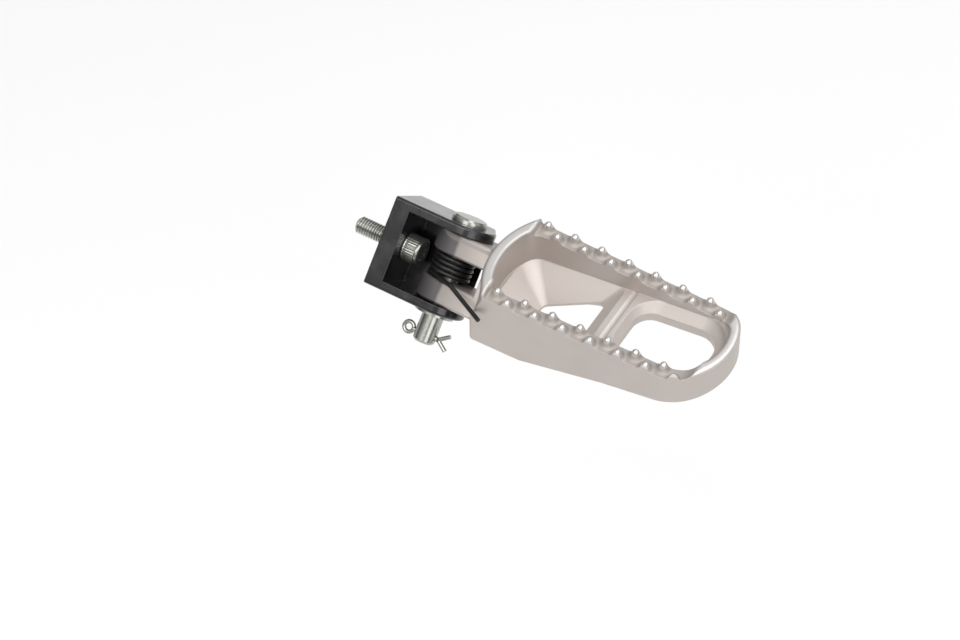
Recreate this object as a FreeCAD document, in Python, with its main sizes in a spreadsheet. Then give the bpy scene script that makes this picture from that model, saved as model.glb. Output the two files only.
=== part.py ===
import FreeCAD, Part
import Sketcher
import math
import os

# A folding motorcycle footpeg for the rider's right foot, with the clevis bracket that carries it.
# Millimetres. X points away from the frame, Y forwards, Z up. The origin is on the bracket's back
# face, on the axis of the screw between the ears.
# The pivot pin leans: its upper end points forwards and up, so the peg folds up and back.

doc = FreeCAD.newDocument("footpeg_assembly")
sheet = doc.addObject("Spreadsheet::Sheet", "sizes")

SIZES = {
    # hinge
    "pin_lean_deg": 45.0,
    "pin_standoff": 31.0,
    "pin_dia": 10.0,
    "pin_play": 0.05,
    "lug_radius": 11.0,
    "lug_width": 10.0,
    "spring_gap": 12.0,
    "lug_play": 0.4,
    "lug_edge": 0.8,
    "fork_root": 20.0,
    "fork_ramp": 42.0,
    "slot_root": 18.0,
    # where the platform sits, from the middle of the pin to the middle of the rim's plane of tips
    "peg_reach": 75.5,
    "peg_lead": 4.2,
    "peg_rise": 21.2,
    # platform outline
    "half_width": 24.0,
    "taper_deg": 0.86,
    "arch_corner": 48.6,
    "arch_radius": 40.0,
    "arch_drop": 1.0,
    "arch_depth": 6.0,
    "heel_corner": 55.5,
    "heel_depth": 24.0,
    "heel_edge": 2.5,
    "end_reach": 58.0,
    "end_radius": 30.0,
    "end_skew_share": 0.5,
    "front_corner_step": 17.0,
    "rear_corner_step": 8.0,
    "end_drop": 0.8,
    "rim_edge": 1.5,
    # underside
    "keel_depth": 35.0,
    "keel_flat": 30.0,
    "keel_mid": 25.0,
    "keel_mid_at": 10.0,
    "keel_end": 16.0,
    # walls of the tray
    "rim_wall": 6.4,
    "arch_wall": 5.0,
    "end_wall": 4.2,
    "tray_corner": 8.0,
    # floor of the tray
    "crease_depth": 12.1,
    "crease_tilt_deg": 9.4,
    "crease_step": 0.2,
    "bar_crest_in": 0.8,
    "bar_crest_out": 6.8,
    "bar_left": 7.0,
    "bar_right": 9.0,
    "bar_groove_at": 3.3,
    "bar_groove": 2.8,
    "bar_groove_depth": 0.5,
    "trough_slope_deg": 45.0,
    "inner_window_start": 34.5,
    "inner_window_half": 4.6,
    "inner_window_depth": 30.8,
    "bar_fall": 5.7,
    "inner_mouth_start": 54.3,
    "inner_land": 1.2,
    "outer_slope_drop": 4.5,
    "outer_floor_thick": 9.0,
    "outer_narrowing": 0.4,
    "inner_window_corner": 3.0,
    "outer_window_corner": 8.0,
    "outer_end_corner": 11.5,
    "bar_corner": 3.2,
    "funnel_over": 3.0,
    # teeth
    "tooth_pitch": 13.4,
    "tooth_count": 7.0,
    "tooth_first": 43.5,
    "tooth_height": 4.0,
    "tooth_tip": 1.7,
    "tooth_flank_deg": 22.0,
    "tooth_root": 2.4,
    "row_inset": 1.3,
    "row_gap": 3.77,
    "valley_end": 50.5,
    "scoop_run": 5.5,
    "scoop_radius": 7.0,
    # bracket
    "ear_thick": 4.0,
    "ear_radius": 13.0,
    "plate_thick": 8.0,
    "web_thick": 5.0,
    "web_play": 0.25,
    "web_reach": 7.0,
    "ear_nose_deg": 35.0,
    "foot_margin": 11.0,
    "plate_corner": 3.0,
    "screw_pitch": 34.0,
    "bracket_edge": 1.2,
    # pin, washer and split pin
    "pin_head_dia": 16.0,
    "pin_head": 2.7,
    "pin_tail": 13.5,
    "pin_chamfer": 1.0,
    "washer_dia": 18.0,
    "washer_thick": 1.6,
    "washer_play": 0.3,
    "cotter_dia": 2.4,
    "cotter_play": 0.2,
    "cotter_inset": 3.6,
    "cotter_eye": 2.3,
    "cotter_leg": 6.0,
    "cotter_spread_deg": 35.0,
    # screws
    "screw_dia": 8.0,
    "screw_length": 25.0,
    "screw_head_dia": 13.0,
    "screw_head": 8.0,
    "screw_hex": 6.0,
    "screw_hex_depth": 4.0,
    "screw_play": 0.5,
    "screw_edge": 0.8,
    "screw_neck": 0.4,
    # return spring
    "wire_dia": 2.0,
    "coil_radius": 8.5,
    "coil_turns": 4.0,
    "coil_pitch": 2.25,
    "leg_lift_deg": 27.0,
    "leg_bend_at": 7.5,
    "leg_corner_at": 22.4,
    "leg_corner_drop": 10.8,
    "leg_corner_lift": 19.6,
    "leg_over": 0.35,
    "leg_bend": 4.0,
    "tail_length": 15.0,
    "tail_hole_play": 0.4,
}


class Size:
    """A number together with the formula that ties it to the sheet."""

    def __init__(self, value, formula):
        self.value = value
        self.formula = formula

    @staticmethod
    def of(other):
        return other if isinstance(other, Size) else Size(float(other), repr(float(other)))

    def __add__(self, other):
        other = Size.of(other)
        return Size(self.value + other.value, f"({self.formula} + {other.formula})")

    def __sub__(self, other):
        other = Size.of(other)
        return Size(self.value - other.value, f"({self.formula} - {other.formula})")

    def __mul__(self, other):
        other = Size.of(other)
        return Size(self.value * other.value, f"({self.formula} * {other.formula})")

    def __truediv__(self, other):
        other = Size.of(other)
        return Size(self.value / other.value, f"({self.formula} / {other.formula})")

    def __neg__(self):
        return Size(-self.value, f"(0 - {self.formula})")

    __radd__ = __add__
    __rmul__ = __mul__

    def __rsub__(self, other):
        return Size.of(other) - self


def sine(angle):
    return Size(math.sin(math.radians(angle.value)), f"sin({angle.formula} * 1deg)")


def cosine(angle):
    return Size(math.cos(math.radians(angle.value)), f"cos({angle.formula} * 1deg)")


def angle_of(slope):
    return Size(math.degrees(math.atan(slope.value)), f"(atan({slope.formula}) / 1deg)")


def root(amount):
    return Size(math.sqrt(amount.value), f"sqrt({amount.formula})")


def tangent(angle):
    return Size(math.tan(math.radians(angle.value)), f"tan({angle.formula} * 1deg)")


for row, (alias, number) in enumerate(SIZES.items(), start=1):
    sheet.set(f"A{row}", alias)
    sheet.set(f"B{row}", str(number))
    sheet.setAlias(f"B{row}", alias)
doc.recompute()


def size(alias):
    return Size(SIZES[alias], f"sizes.{alias}")


def bind(thing, **values):
    """Set properties and tie each one to the sheet; dots in a path are written as double underscores."""
    for path, amount in values.items():
        thing.setExpression(path.replace("__", "."), Size.of(amount).formula)


def place(thing, x=0, y=0, z=0, turn=0, axis=(0, 0, 1), path="Placement"):
    """Put a thing at a place bound to the sheet, turned about one axis."""
    spot = [Size.of(v) for v in (x, y, z)]
    turn = Size.of(turn)
    placement = FreeCAD.Placement(
        FreeCAD.Vector(*[v.value for v in spot]),
        FreeCAD.Rotation(FreeCAD.Vector(*axis), turn.value),
    )
    setattr(thing, path, placement)
    for letter, v in zip("xyz", spot):
        thing.setExpression(f"{path}.Base.{letter}", v.formula)
    thing.setExpression(f"{path}.Rotation.Angle", f"{turn.formula} * 1deg")


def origin_plane(body, role):
    return next(f for f in body.Origin.OriginFeatures if f.Role == role)


def new_sketch(host, name, plane="XY_Plane", offset=0):
    """A sketch on one of a body's origin planes, or loose in the document when host is the document."""
    if host is doc:
        sketch = doc.addObject("Sketcher::SketchObject", name)
        place(sketch, z=offset)
        return sketch
    sketch = host.newObject("Sketcher::SketchObject", name)
    sketch.AttachmentSupport = [(origin_plane(host, plane), "")]
    sketch.MapMode = "FlatFace"
    place(sketch, z=offset, path="AttachmentOffset")
    return sketch


def fix_point(sketch, edge, end, x, y):
    """Hold one point of a sketch at a place bound to the sheet."""
    for kind, amount in (("DistanceX", Size.of(x)), ("DistanceY", Size.of(y))):
        index = sketch.addConstraint(Sketcher.Constraint(kind, -1, 1, edge, end, amount.value))
        sketch.setExpression(f"Constraints[{index}]", amount.formula)


def fix_radius(sketch, edge, radius):
    index = sketch.addConstraint(Sketcher.Constraint("Radius", edge, radius.value))
    sketch.setExpression(f"Constraints[{index}]", radius.formula)


def vector(x, y, z=0.0):
    return FreeCAD.Vector(x, y, z)


def arc_over(start, middle, end):
    """The arc through three points, always drawn anticlockwise as sketches keep it."""
    circle = Part.Arc(start, middle, end).toShape().Curve
    centre = circle.Center
    angles = [math.atan2(p.y - centre.y, p.x - centre.x) for p in (start, middle, end)]
    turn = 2 * math.pi
    to_middle = (angles[1] - angles[0]) % turn
    to_end = (angles[2] - angles[0]) % turn
    first, last = (angles[0], angles[2]) if to_middle < to_end else (angles[2], angles[0])
    if last < first:
        last += turn
    return Part.ArcOfCircle(Part.Circle(centre, vector(0, 0, 1), circle.Radius), first, last)


def arc_through(start, end, radius, side):
    """The short arc of a radius between two points; side +1 bulges to the left of the way."""
    chord = end - start
    half = chord.Length / 2
    rise = radius - math.sqrt(max(radius * radius - half * half, 0.0))
    left = vector(-chord.y, chord.x).normalize()
    middle = (start + end) * 0.5 + left * (rise * side)
    return arc_over(start, middle, end)


class Outline:
    """The edges of one closed sketch, drawn first and held to each other and to the sheet after."""

    def __init__(self, sketch):
        self.sketch = sketch
        self.ends = {}

    def add(self, geometry):
        edge = self.sketch.addGeometry(geometry, False)
        self.ends[edge] = (geometry.StartPoint, geometry.EndPoint)
        return edge

    def tip(self, edge, spot):
        start, end = self.ends[edge]
        return 1 if (start - spot).Length < (end - spot).Length else 2

    def join(self, kind, before, after, spot):
        rule = Sketcher.Constraint(kind, before, self.tip(before, spot), after, self.tip(after, spot))
        self.sketch.addConstraint(rule)

    def hold(self, edge, spot, x, y):
        fix_point(self.sketch, edge, self.tip(edge, spot), x, y)


def draw_polygon(sketch, corners, arcs=None):
    """A closed outline with its corners held, and with some edges bowed to a radius."""
    arcs = arcs or {}
    outline = Outline(sketch)
    spots = [vector(Size.of(x).value, Size.of(y).value) for x, y in corners]
    count = len(spots)
    edges = []
    for i, start in enumerate(spots):
        end = spots[(i + 1) % count]
        if i in arcs:
            radius, side = arcs[i]
            edges.append(outline.add(arc_through(start, end, radius.value, side)))
        else:
            edges.append(outline.add(Part.LineSegment(start, end)))
    for i in range(count):
        outline.join("Coincident", edges[i - 1], edges[i], spots[i])
    for i, (x, y) in enumerate(corners):
        outline.hold(edges[i], spots[i], x, y)
    for i, (radius, side) in arcs.items():
        fix_radius(sketch, edges[i], radius)
    return edges


def rounded_polygon(sketch, corners):
    """A closed outline of straight edges whose corners are rounded; each corner is (x, y, radius)."""
    outline = Outline(sketch)
    count = len(corners)
    spots = [vector(Size.of(x).value, Size.of(y).value) for x, y, r in corners]
    cuts = []
    for i, (x, y, r) in enumerate(corners):
        back = (spots[i - 1] - spots[i]).normalize()
        ahead = (spots[(i + 1) % count] - spots[i]).normalize()
        half = back.getAngle(ahead) / 2
        reach = r.value / math.tan(half)
        middle = (back + ahead).normalize() * (r.value / math.sin(half) - r.value)
        cuts.append((spots[i] + back * reach, spots[i] + middle, spots[i] + ahead * reach))
    lines = [outline.add(Part.LineSegment(cuts[i][2], cuts[(i + 1) % count][0])) for i in range(count)]
    bends = [outline.add(arc_over(*cut)) for cut in cuts]
    points = [sketch.addGeometry(Part.Point(spot), True) for spot in spots]
    for i, (x, y, r) in enumerate(corners):
        outline.join("Tangent", lines[i - 1], bends[i], cuts[i][0])
        outline.join("Tangent", bends[i], lines[i], cuts[i][2])
        fix_radius(sketch, bends[i], r)
        sketch.addConstraint(Sketcher.Constraint("PointOnObject", points[i], 1, lines[i - 1]))
        sketch.addConstraint(Sketcher.Constraint("PointOnObject", points[i], 1, lines[i]))
        fix_point(sketch, points[i], 1, x, y)


def feature(kind, name, **links):
    thing = doc.addObject(kind, name)
    for prop, target in links.items():
        setattr(thing, prop, target)
    return thing


def cylinder(name, radius, height, **where):
    thing = feature("Part::Cylinder", name)
    bind(thing, Radius=radius, Height=height)
    place(thing, **where)
    return thing


def edges_where(shape, test):
    """Names of the edges whose middle point passes a test."""
    names = []
    for i, edge in enumerate(shape.Edges, start=1):
        if edge.Length < 1e-3:
            continue
        middle = edge.valueAt((edge.FirstParameter + edge.LastParameter) / 2)
        if test(middle, edge):
            names.append(f"Edge{i}")
    return names


def soften(body, base, name, amount, test, kind="PartDesign::Fillet"):
    """Round or bevel the edges of a body's last feature that pass a test."""
    doc.recompute()
    names = edges_where(base.Shape, test)
    dress = body.newObject(kind, name)
    dress.Base = (base, names)
    bind(dress, **{"Radius" if kind.endswith("Fillet") else "Size": amount})
    doc.recompute()
    return dress


# Values worked out from the sheet that several pieces share

pin_lean = size("pin_lean_deg")
lug_half = size("lug_width") + size("spring_gap") / 2
ear_inner = lug_half + size("lug_play")
ear_outer = ear_inner + size("ear_thick")
taper = tangent(size("taper_deg"))
platform_x = size("pin_standoff") + size("peg_reach")
crease_slope = tangent(size("crease_tilt_deg"))


def wall_at(x, half=None):
    """Half width of the platform's side, or of the tray's, at a distance out from its middle."""
    return (half or size("half_width")) - taper * x


def in_clevis(thing):
    """Turn a piece made upright about the pin's own frame into the assembly."""
    place(thing, x=size("pin_standoff"), turn=pin_lean, axis=(1, 0, 0))


# The footpeg's platform: outlines seen from above, in a frame with its origin in the middle of
# the plane of tooth tips


def plan_outline(host, name, height, corner_x, half, wall=0, bow=None):
    """The platform's outline, or the tray's inside a wall: an inboard edge, two sides and three arcs."""
    sketch = new_sketch(host, name, offset=height)
    reach = size("end_reach") - wall
    end_radius = size("end_radius") - wall
    front = end_radius - size("front_corner_step")
    rear = end_radius - size("rear_corner_step")
    skew = (size("end_radius") - size("half_width")) * size("end_skew_share")
    corner_y = wall_at(-corner_x, half)
    lean = math.radians(SIZES["taper_deg"])
    middle = vector(reach.value - end_radius.value, skew.value)
    arcs = []
    spread = vector(0, 0)
    for side, radius in ((1, front.value), (-1, rear.value)):
        span = end_radius.value - radius
        away = half.value * math.cos(lean) - radius
        # the corner arc's centre lies on a line parallel to the side, and inside the end arc
        drop = away - (middle.x * math.sin(lean) + side * middle.y * math.cos(lean))
        along = math.sqrt(span * span - drop * drop)
        normal = vector(math.sin(lean), side * math.cos(lean))
        way = vector(math.cos(lean), -side * math.sin(lean))
        centre = middle + normal * drop + way * along
        outwards = (centre - middle).normalize()
        touch_side = centre + normal * radius
        touch_end = centre + outwards * radius
        bisector = (normal + outwards).normalize()
        arcs.append((touch_side, centre + bisector * radius, touch_end))
        spread += outwards
    front_inboard = vector(-corner_x.value, corner_y.value)
    rear_inboard = vector(-corner_x.value, -corner_y.value)
    apex = middle + spread.normalize() * end_radius.value
    outline = Outline(sketch)
    front_side = outline.add(Part.LineSegment(front_inboard, arcs[0][0]))
    front_arc = outline.add(arc_over(*arcs[0]))
    end_arc = outline.add(arc_over(arcs[0][2], apex, arcs[1][2]))
    rear_arc = outline.add(arc_over(arcs[1][2], arcs[1][1], arcs[1][0]))
    rear_side = outline.add(Part.LineSegment(arcs[1][0], rear_inboard))
    if bow is None:
        inboard = outline.add(Part.LineSegment(rear_inboard, front_inboard))
    else:
        inboard = outline.add(arc_through(rear_inboard, front_inboard, bow.value, 1))
    outline.join("Tangent", front_side, front_arc, arcs[0][0])
    outline.join("Tangent", front_arc, end_arc, arcs[0][2])
    outline.join("Tangent", end_arc, rear_arc, arcs[1][2])
    outline.join("Tangent", rear_arc, rear_side, arcs[1][0])
    outline.join("Coincident", rear_side, inboard, rear_inboard)
    outline.join("Coincident", inboard, front_side, front_inboard)
    outline.hold(front_side, front_inboard, -corner_x, corner_y)
    outline.hold(rear_side, rear_inboard, -corner_x, -corner_y)
    for edge, radius in ((front_arc, front), (end_arc, end_radius), (rear_arc, rear)):
        fix_radius(sketch, edge, radius)
    fix_point(sketch, end_arc, 3, reach - end_radius, skew)
    for edge, angle in ((front_side, -size("taper_deg")), (rear_side, size("taper_deg") + 180)):
        index = sketch.addConstraint(Sketcher.Constraint("Angle", edge, math.radians(angle.value)))
        sketch.setExpression(f"Constraints[{index}]", f"{angle.formula} * 1deg")
    if bow is not None:
        fix_radius(sketch, inboard, bow)
    return sketch


def build_blank():
    """The casting's outer block: an arched top that squares off towards the heel."""
    body = doc.addObject("PartDesign::Body", "blank")
    half = size("half_width")
    depth = -size("arch_depth")
    top = plan_outline(body, "arch_outline", depth, size("arch_corner"), half, bow=size("arch_radius"))
    rise = body.newObject("PartDesign::Pad", "arch_band")
    rise.Profile = top
    bind(rise, Length=size("arch_depth") + size("tooth_tip"))
    heel = plan_outline(body, "heel_outline", -size("heel_depth"), size("heel_corner"), half)
    doc.recompute()
    loft = body.newObject("PartDesign::AdditiveLoft", "arch_to_heel")
    loft.Profile = heel
    loft.Sections = [top]
    loft.Ruled = True
    doc.recompute()
    foot = body.newObject("PartDesign::Pad", "heel_band")
    foot.Profile = heel
    foot.Reversed = True
    bind(foot, Length=size("keel_depth") - size("heel_depth"))
    doc.recompute()

    # the underside rises from a flat heel to a thin outer end
    profile = new_sketch(body, "keel_line", "XZ_Plane")
    beyond = size("end_reach") + 2
    below = -size("keel_depth") - 2
    draw_polygon(
        profile,
        [
            (-size("keel_flat"), below),
            (beyond, below),
            (beyond, -size("keel_end")),
            (size("keel_mid_at"), -size("keel_mid")),
            (-size("keel_flat"), -size("keel_depth")),
        ],
    )
    keel = body.newObject("PartDesign::Pocket", "keel")
    keel.Profile = profile
    keel.Type = "ThroughAll"
    keel.SideType = "Symmetric"
    doc.recompute()

    # the top steps down from the arch to the valleys between the teeth, and scoops up to the end rim
    profile = new_sketch(body, "rim_line", "XZ_Plane")
    valley = -size("tooth_height")
    far = size("end_reach") + 10
    above = size("tooth_tip") + 2
    scoop = size("valley_end")
    draw_polygon(
        profile,
        [
            (-far, above),
            (-far, -size("arch_drop")),
            (-size("arch_corner") + 0.4, -size("arch_drop")),
            (-size("arch_corner") + 1.6, valley),
            (scoop - size("scoop_run"), valley),
            (scoop, -size("end_drop")),
            (far, -size("end_drop")),
            (far, above),
        ],
        {4: (size("scoop_radius"), -1)},
    )
    rim = body.newObject("PartDesign::Pocket", "rim")
    rim.Profile = profile
    rim.Type = "ThroughAll"
    rim.SideType = "Symmetric"
    tops = (-SIZES["arch_drop"], -SIZES["end_drop"])
    beyond = SIZES["arch_corner"] - 1
    soften(
        body,
        rim,
        "rim_edges",
        size("rim_edge"),
        lambda p, e: min(abs(p.z - top) for top in tops) < 1e-3
        and abs(p.x) > beyond
        and (e.Curve.TypeId != "Part::GeomLine"),
    )

    # the heel's upright corners are rounded by a prism of its outline
    prism = doc.addObject("PartDesign::Body", "heel_prism")
    outline = plan_outline(prism, "heel_plan", -size("keel_depth") - 5, size("heel_corner"), half)
    pad = prism.newObject("PartDesign::Pad", "heel_pad")
    pad.Profile = outline
    bind(pad, Length=size("keel_depth") + 10)
    corner_x = SIZES["heel_corner"] - 0.5
    soften(
        prism,
        pad,
        "heel_corners",
        size("heel_edge"),
        lambda p, e: abs(e.tangentAt(e.FirstParameter).z) > 0.9 and p.x < -corner_x,
    )
    return feature("Part::Common", "block", Base=body, Tool=prism)


def build_rim_band():
    """A plain prism of the platform's outline, which trims the feet of the teeth."""
    body = doc.addObject("PartDesign::Body", "rim_band")
    depth = -size("arch_depth")
    corner, half = size("arch_corner"), size("half_width")
    outline = plan_outline(body, "rim_outline", depth, corner, half, bow=size("arch_radius"))
    pad = body.newObject("PartDesign::Pad", "rim_pad")
    pad.Profile = outline
    bind(pad, Length=size("arch_depth") + size("tooth_tip"))
    return body


def build_tooth_row(name, side, inset, first):
    """One row of turned tips along a side wall: a ball on a cone that flares into the valley."""
    tip = size("tooth_tip")
    tall = size("tooth_height")
    flare = size("tooth_root")
    flank = size("tooth_flank_deg")
    lean, rise = cosine(flank), sine(flank)
    foot = (tip - tip * rise + flare + rise * (tall - flare)) / lean
    bottom = -tall - tip
    body = doc.addObject("PartDesign::Body", name)
    profile = new_sketch(body, f"{name}_profile", "XZ_Plane")
    draw_polygon(
        profile,
        [
            (0, 0),
            (tip * lean, tip * rise - tip),
            (foot - flare * lean, flare - tall - flare * rise),
            (foot, -tall),
            (foot, bottom),
            (0, bottom),
        ],
        {0: (tip, 1), 2: (flare, -1)},
    )
    tooth = body.newObject("PartDesign::Revolution", f"{name}_tooth")
    tooth.Profile = profile
    tooth.ReferenceAxis = (profile, ["V_Axis"])
    bind(tooth, Angle=360)
    doc.recompute()
    row = body.newObject("PartDesign::LinearPattern", f"{name}_pattern")
    row.Originals = [tooth]
    row.Direction = (profile, ["H_Axis"])
    bind(row, Length=size("tooth_pitch") * (size("tooth_count") - 1), Occurrences=size("tooth_count"))
    body.Tip = row
    distance = (wall_at(first) - inset) * side
    place(body, x=first, y=distance, turn=-side * size("taper_deg"))
    doc.recompute()
    return body


def build_fork():
    """Two hinge lugs with the spring's gap between them, made upright about the pin."""
    body = doc.addObject("PartDesign::Body", "fork")
    radius = size("lug_radius")
    profile = new_sketch(body, "lug_profile", "XZ_Plane")
    root_x = size("fork_root")
    ramp = size("fork_ramp")
    draw_polygon(
        profile,
        [(0, radius), (root_x, radius), (ramp, 0), (root_x, -radius), (0, -radius), (-radius, 0)],
        {4: (radius, 1), 5: (radius, 1)},
    )
    pad = body.newObject("PartDesign::Pad", "lug_block")
    pad.Profile = profile
    pad.SideType = "Symmetric"
    bind(pad, Length=lug_half * 2)
    gap = new_sketch(body, "spring_slot", "XY_Plane")
    half = size("spring_gap") / 2
    start = -radius - 1
    end = size("slot_root")
    draw_polygon(gap, [(start, -half), (end, -half), (end, half), (start, half)])
    slot = body.newObject("PartDesign::Pocket", "slot")
    slot.Profile = gap
    slot.Type = "ThroughAll"
    slot.SideType = "Symmetric"
    doc.recompute()
    faces = (lug_half.value, half.value)
    soften(
        body,
        slot,
        "lug_edges",
        size("lug_edge"),
        lambda p, e: any(abs(abs(p.y) - face) < 1e-3 for face in faces) and p.x < SIZES["slot_root"] - 0.1,
        "PartDesign::Chamfer",
    )
    place(body, x=-size("peg_reach"), y=-size("peg_lead"), z=-size("peg_rise"), turn=pin_lean, axis=(1, 0, 0))
    return body


# Tools that hollow the casting out


def tilted_sketch(name, height, tilt):
    """A loose sketch on a plane that rises outwards; its X is measured along the slope."""
    sketch = doc.addObject("Sketcher::SketchObject", name)
    place(sketch, z=height, turn=-tilt, axis=(0, 1, 0))
    return sketch


def section(name, height, tilt, inboard, outboard):
    """A four-cornered section on a tilted plane; each end is (x, half width, corner radius)."""
    sketch = tilted_sketch(name, height, tilt)
    slope = cosine(tilt)
    (x0, y0, r0), (x1, y1, r1) = inboard, outboard
    rounded_polygon(
        sketch,
        [(x0 / slope, -y0, r0), (x1 / slope, -y1, r1), (x1 / slope, y1, r1), (x0 / slope, y0, r0)],
    )
    return sketch


def build_tray_prism():
    """The tray's outline, deep enough to trim every tool below it."""
    body = doc.addObject("PartDesign::Body", "tray_prism")
    half = size("half_width") - size("rim_wall")
    inner_radius = size("arch_radius") - size("arch_wall")
    outer_y = wall_at(-size("arch_corner"))
    inner_y = wall_at(-size("arch_corner"), half)
    centre = root(size("arch_radius") * size("arch_radius") - outer_y * outer_y) - size("arch_corner")
    corner_x = root(inner_radius * inner_radius - inner_y * inner_y) - centre
    low = -size("keel_depth") - 5
    outline = plan_outline(body, "tray_outline", low, corner_x, half, size("end_wall"), inner_radius)
    pad = body.newObject("PartDesign::Pad", "tray_pad")
    pad.Profile = outline
    bind(pad, Length=size("keel_depth") + 10)
    reach = corner_x.value - 0.5
    soften(
        body,
        pad,
        "tray_corners",
        size("tray_corner"),
        lambda p, e: abs(e.tangentAt(e.FirstParameter).z) > 0.9 and p.x < -reach,
    )
    return body


def half_space(name, height, tilt, side):
    """A big block whose face lies on a tilted plane: side +1 fills above it, -1 below."""
    block = feature("Part::Box", name)
    span = size("end_reach") * 2
    deep = size("end_reach")
    bind(block, Length=span * 2, Width=span, Height=deep)
    sink = deep if side < 0 else Size.of(0)
    place(
        block,
        x=-span * cosine(tilt) + sink * sine(tilt),
        y=-span / 2,
        z=height - span * sine(tilt) - sink * cosine(tilt),
        turn=-tilt,
        axis=(0, 1, 0),
    )
    return block


def loft(name, low, high):
    return feature("Part::Loft", name, Sections=[low, high], Solid=True, Ruled=True)


def drop(name, base):
    """A section drawn straight down through the casting."""
    prism = feature("Part::Extrusion", name, Base=base, DirMode="Custom", Solid=True)
    prism.Dir = vector(0, 0, -1)
    bind(prism, LengthFwd=size("keel_depth") + 10)
    return prism


def build_hollows():
    """The tray, its two funnels and windows, the groove of the bar and the hollow underneath."""
    prism = build_tray_prism()
    tilt = size("crease_tilt_deg")
    crease = -size("crease_depth")
    above = half_space("above_floor", crease, tilt, 1)
    tray = feature("Part::Common", "tray", Base=prism, Tool=above)
    half = size("half_width") - size("rim_wall")
    over = size("funnel_over")

    # inner funnel: steep sides down to a window that slopes towards the heel
    start = size("inner_window_start")
    bar_fall = size("bar_fall")
    bar_drop = size("crease_depth") + size("bar_left") * crease_slope + bar_fall
    slope = (size("inner_window_depth") - bar_drop) / (start - size("bar_left"))
    steep = angle_of(slope)
    window_base = -size("inner_window_depth") + start * slope
    bar_half = half - bar_fall / tangent(size("trough_slope_deg"))
    lean = (size("bar_left") - size("bar_crest_in")) / bar_fall
    spread = over / tangent(size("trough_slope_deg"))
    inner_low = section(
        "inner_window",
        window_base,
        steep,
        (-start, size("inner_window_half"), size("inner_window_corner")),
        (-size("bar_left"), bar_half, size("bar_corner")),
    )
    inner_high = section(
        "inner_mouth",
        crease + over,
        tilt,
        (-size("inner_mouth_start"), half + spread, size("tray_corner")),
        (-size("bar_crest_in") + lean * over, half + spread, size("bar_corner")),
    )
    inner_funnel = loft("inner_funnel", inner_low, inner_high)
    inner_hole = drop("inner_hole", inner_low)

    # outer funnel: an even slope all round a rounded window
    fall = size("outer_slope_drop")
    stretch = fall + over
    bar_run = (size("bar_right") - size("bar_crest_out")) / fall
    end_inside = size("end_reach") - size("end_wall")
    end_half = half - size("outer_narrowing")
    outer_low = section(
        "outer_window",
        crease - fall,
        tilt,
        (size("bar_right"), half - fall, size("outer_window_corner")),
        (end_inside - fall, end_half - fall, size("outer_end_corner")),
    )
    outer_high = section(
        "outer_mouth",
        crease + over,
        tilt,
        (size("bar_right") - bar_run * stretch, half + over, size("outer_window_corner") + stretch),
        (end_inside + over, end_half + over, size("outer_end_corner") + stretch),
    )
    outer_funnel = loft("outer_funnel", outer_low, outer_high)
    outer_hole = drop("outer_hole", outer_low)
    funnels = feature("Part::MultiFuse", "funnels", Shapes=[inner_funnel, outer_funnel])
    trimmed = feature("Part::Common", "trimmed_funnels", Base=prism, Tool=funnels)

    # shallow groove along the bar's crest
    wide, deep = size("bar_groove"), size("bar_groove_depth")
    groove_radius = (wide * wide / 4 + deep * deep) / (deep * 2)
    length = (half - size("crease_step")) * 2
    groove = cylinder(
        "bar_groove",
        groove_radius,
        length,
        x=size("bar_groove_at"),
        y=length / 2,
        z=crease - deep + groove_radius + size("bar_groove_at") * crease_slope,
        turn=90,
        axis=(1, 0, 0),
    )

    # the hollow under the floor follows the windows' lower edges
    outer_floor = crease - size("outer_floor_thick")
    inner_floor = window_base - size("inner_land")
    under_outer = half_space("under_outer", outer_floor, tilt, -1)
    under_inner = half_space("under_inner", inner_floor, steep, -1)
    under = feature("Part::MultiCommon", "underside", Shapes=[prism, under_outer, under_inner])
    return [tray, trimmed, inner_hole, outer_hole, groove, under]


def build_footpeg():
    """The casting: block, lugs and teeth together, hollowed out and bored."""
    blank = build_blank()
    fork = build_fork()
    inset = size("row_inset")
    inner = inset + size("row_gap")
    first = -size("tooth_first")
    later = first + size("tooth_pitch") / 2
    rows = [
        build_tooth_row("rear_inner_teeth", -1, inner, first),
        build_tooth_row("rear_outer_teeth", -1, inset, later),
        build_tooth_row("front_outer_teeth", 1, inset, first),
        build_tooth_row("front_inner_teeth", 1, inner, later),
    ]
    doc.recompute()
    teeth = feature("Part::MultiFuse", "all_teeth", Shapes=rows)
    band = build_rim_band()
    trimmed = feature("Part::Common", "trimmed_teeth", Base=teeth, Tool=band)
    whole = feature("Part::MultiFuse", "solid_casting", Shapes=[blank, fork, trimmed])
    bore = cylinder(
        "lug_bore",
        size("pin_dia") / 2 + size("pin_play"),
        lug_half * 2 + 4,
        x=-size("peg_reach"),
        y=-size("peg_lead") + (lug_half + 2) * sine(pin_lean),
        z=-size("peg_rise") + (lug_half + 2) * sine(pin_lean),
        turn=90 + pin_lean,
        axis=(1, 0, 0),
    )
    tools = feature("Part::MultiFuse", "hollows", Shapes=build_hollows() + [bore])
    footpeg = feature("Part::Cut", "footpeg", Base=whole, Tool=tools)
    place(footpeg, x=platform_x, y=size("peg_lead"), z=size("peg_rise"))
    return footpeg


# Bracket


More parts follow.
